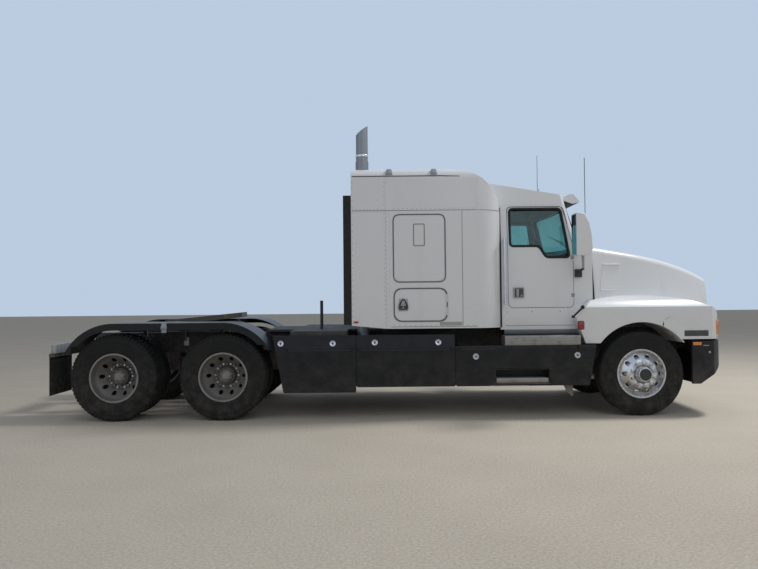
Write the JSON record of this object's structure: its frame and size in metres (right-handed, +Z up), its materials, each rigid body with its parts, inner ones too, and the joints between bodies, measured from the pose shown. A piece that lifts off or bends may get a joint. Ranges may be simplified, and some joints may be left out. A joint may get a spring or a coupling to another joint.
{
  "type": "semi truck tractor unit",
  "caption": "Conventional sleeper-cab highway tractor unit: tilting hood, side skirts, tandem drive wheels and a tipping fifth wheel.",
  "frame": {"origin": "on the ground, below the middle of the truck's length and width", "axes": "+X forward along the truck, +Y to the driver's left, +Z up"},
  "size_m": [8.31, 2.69, 3.6669],
  "materials": {
    "cab_paint": "gloss white, lightly dusty",
    "black_panels": "satin black",
    "frame_paint": "chassis black, dusty",
    "tyre": "matt black",
    "polished_wheel": "polished",
    "steel_wheel": "dull, rusty in places",
    "tinted_glass": "tinted",
    "lamp_lens": "clear",
    "amber_lens": "amber",
    "red_lens": "red",
    "bright_trim": "bright",
    "axle_iron": "rough, dark",
    "spring_steel": "dark",
    "engine_paint": "painted grey",
    "core_aluminium": "dull",
    "rubber": "matt",
    "stack_metal": "dulled",
    "fifth_wheel_steel": "greasy, worn",
    "mirror": "mirror",
    "cabin_floor": "matt",
    "dark_trim": "matt",
    "seat_cloth": "woven",
    "bunk_cloth": "quilted"
  },
  "bodies": {
    "chassis": {"cab_roof": "cab_paint", "cab_cowl": "cab_paint", "cab_sides": "cab_paint", "windshield": "tinted_glass", "sleeper_roof": "cab_paint", "sleeper_rear": "cab_paint", "sleeper_sides": "cab_paint", "cab_floor": "cabin_floor", "bumper": "black_panels", "frame_rails": "frame_paint", "front_axle": "axle_iron", "front_springs": "spring_steel", "engine": "engine_paint", "radiator": "core_aluminium", "drive_axles": "axle_iron", "suspension_arms": "spring_steel", "air_springs": "rubber", "fuel_tanks": "polished_wheel", "side_skirts": "black_panels", "steps_and_grabs": "bright_trim", "side_extenders": "cab_paint", "rubber_flaps": "rubber", "exhaust": "stack_metal", "rear_fenders": "black_panels", "fender_stays": "frame_paint", "fifth_wheel_mount": "fifth_wheel_steel", "deck": "frame_paint", "mirrors": "cab_paint", "mirror_glass": "mirror", "marker_lamps": "red_lens", "dashboard": "dark_trim", "seats": "seat_cloth", "bunk": "bunk_cloth"},
    "hood": {"hood": "cab_paint", "grille": "bright_trim", "headlamps": "lamp_lens", "turn_lamps": "amber_lens"},
    "door_right": {"door_right": "cab_paint", "door_glass_right": "tinted_glass"},
    "door_left": {"door_left": "cab_paint", "door_glass_left": "tinted_glass"},
    "luggage_door_right": {"luggage_door_right": "cab_paint"},
    "luggage_door_left": {"luggage_door_left": "cab_paint"},
    "knuckle_right": {"knuckle_right": "axle_iron"},
    "knuckle_left": {"knuckle_left": "axle_iron"},
    "tie_rod": {"tie_rod": "axle_iron"},
    "wheel_front_right": {"tyre_front_right": "tyre", "rim_front_right": "polished_wheel"},
    "wheel_front_left": {"tyre_front_left": "tyre", "rim_front_left": "polished_wheel"},
    "wheels_drive_1_right": {"tyres_drive_1_right": "tyre", "rims_drive_1_right": "steel_wheel"},
    "wheels_drive_1_left": {"tyres_drive_1_left": "tyre", "rims_drive_1_left": "steel_wheel"},
    "wheels_drive_2_right": {"tyres_drive_2_right": "tyre", "rims_drive_2_right": "steel_wheel"},
    "wheels_drive_2_left": {"tyres_drive_2_left": "tyre", "rims_drive_2_left": "steel_wheel"},
    "fifth_wheel": {"fifth_wheel": "fifth_wheel_steel"}
  },
  "joints": [
    {"name": "hood_tilt", "type": "hinge", "parent": "chassis", "child": "hood", "pos_m": [4.119, 0, 0.955], "axis": [0, 1, 0], "range_deg": [0, 70]},
    {"name": "door_right_hinge", "type": "hinge", "parent": "chassis", "child": "door_right", "pos_m": [2.252, -1.009, 1.9], "axis": [0, 0, 1], "range_deg": [0, 60]},
    {"name": "door_left_hinge", "type": "hinge", "parent": "chassis", "child": "door_left", "pos_m": [2.252, 1.009, 1.9], "axis": [0, 0, -1], "range_deg": [0, 60]},
    {"name": "luggage_right_hinge", "type": "hinge", "parent": "chassis", "child": "luggage_door_right", "pos_m": [0.658, -1.179, 1.375], "axis": [0, 0, 1], "range_deg": [0, 95]},
    {"name": "luggage_left_hinge", "type": "hinge", "parent": "chassis", "child": "luggage_door_left", "pos_m": [0.658, 1.179, 1.375], "axis": [0, 0, -1], "range_deg": [0, 95]},
    {"name": "steer_left", "type": "hinge", "parent": "chassis", "child": "knuckle_left", "pos_m": [3.032, 0.86, 0.512], "axis": [0, 0, 1], "range_deg": [-35, 35]},
    {"name": "steer_right", "type": "hinge", "parent": "chassis", "child": "knuckle_right", "pos_m": [3.032, -0.86, 0.512], "axis": [0, 0, 1], "range_deg": [-35, 35]},
    {"name": "tie_rod_pivot", "type": "hinge", "parent": "knuckle_left", "child": "tie_rod", "pos_m": [2.852, 0.86, 0.4], "axis": [0, 0, 1], "range_deg": [-35, 35]},
    {"name": "spin_front_left", "type": "hinge", "parent": "knuckle_left", "child": "wheel_front_left", "pos_m": [3.032, 1, 0.512], "axis": [0, 1, 0], "continuous": true},
    {"name": "spin_front_right", "type": "hinge", "parent": "knuckle_right", "child": "wheel_front_right", "pos_m": [3.032, -1, 0.512], "axis": [0, 1, 0], "continuous": true},
    {"name": "spin_drive_1_left", "type": "hinge", "parent": "chassis", "child": "wheels_drive_1_left", "pos_m": [-2.0645, 0.9085, 0.525], "axis": [0, 1, 0], "continuous": true},
    {"name": "spin_drive_1_right", "type": "hinge", "parent": "chassis", "child": "wheels_drive_1_right", "pos_m": [-2.0645, -0.9085, 0.525], "axis": [0, 1, 0], "continuous": true},
    {"name": "spin_drive_2_left", "type": "hinge", "parent": "chassis", "child": "wheels_drive_2_left", "pos_m": [-3.3855, 0.9085, 0.525], "axis": [0, 1, 0], "continuous": true},
    {"name": "spin_drive_2_right", "type": "hinge", "parent": "chassis", "child": "wheels_drive_2_right", "pos_m": [-3.3855, -0.9085, 0.525], "axis": [0, 1, 0], "continuous": true},
    {"name": "fifth_wheel_tip", "type": "hinge", "parent": "chassis", "child": "fifth_wheel", "pos_m": [-2.565, 0, 1.15], "axis": [0, 1, 0], "range_deg": [0, 15]}
  ],
  "couplings": [
    {"joint": "steer_right", "follows": "steer_left", "ratio": 1},
    {"joint": "tie_rod_pivot", "follows": "steer_left", "ratio": -1}
  ]
}
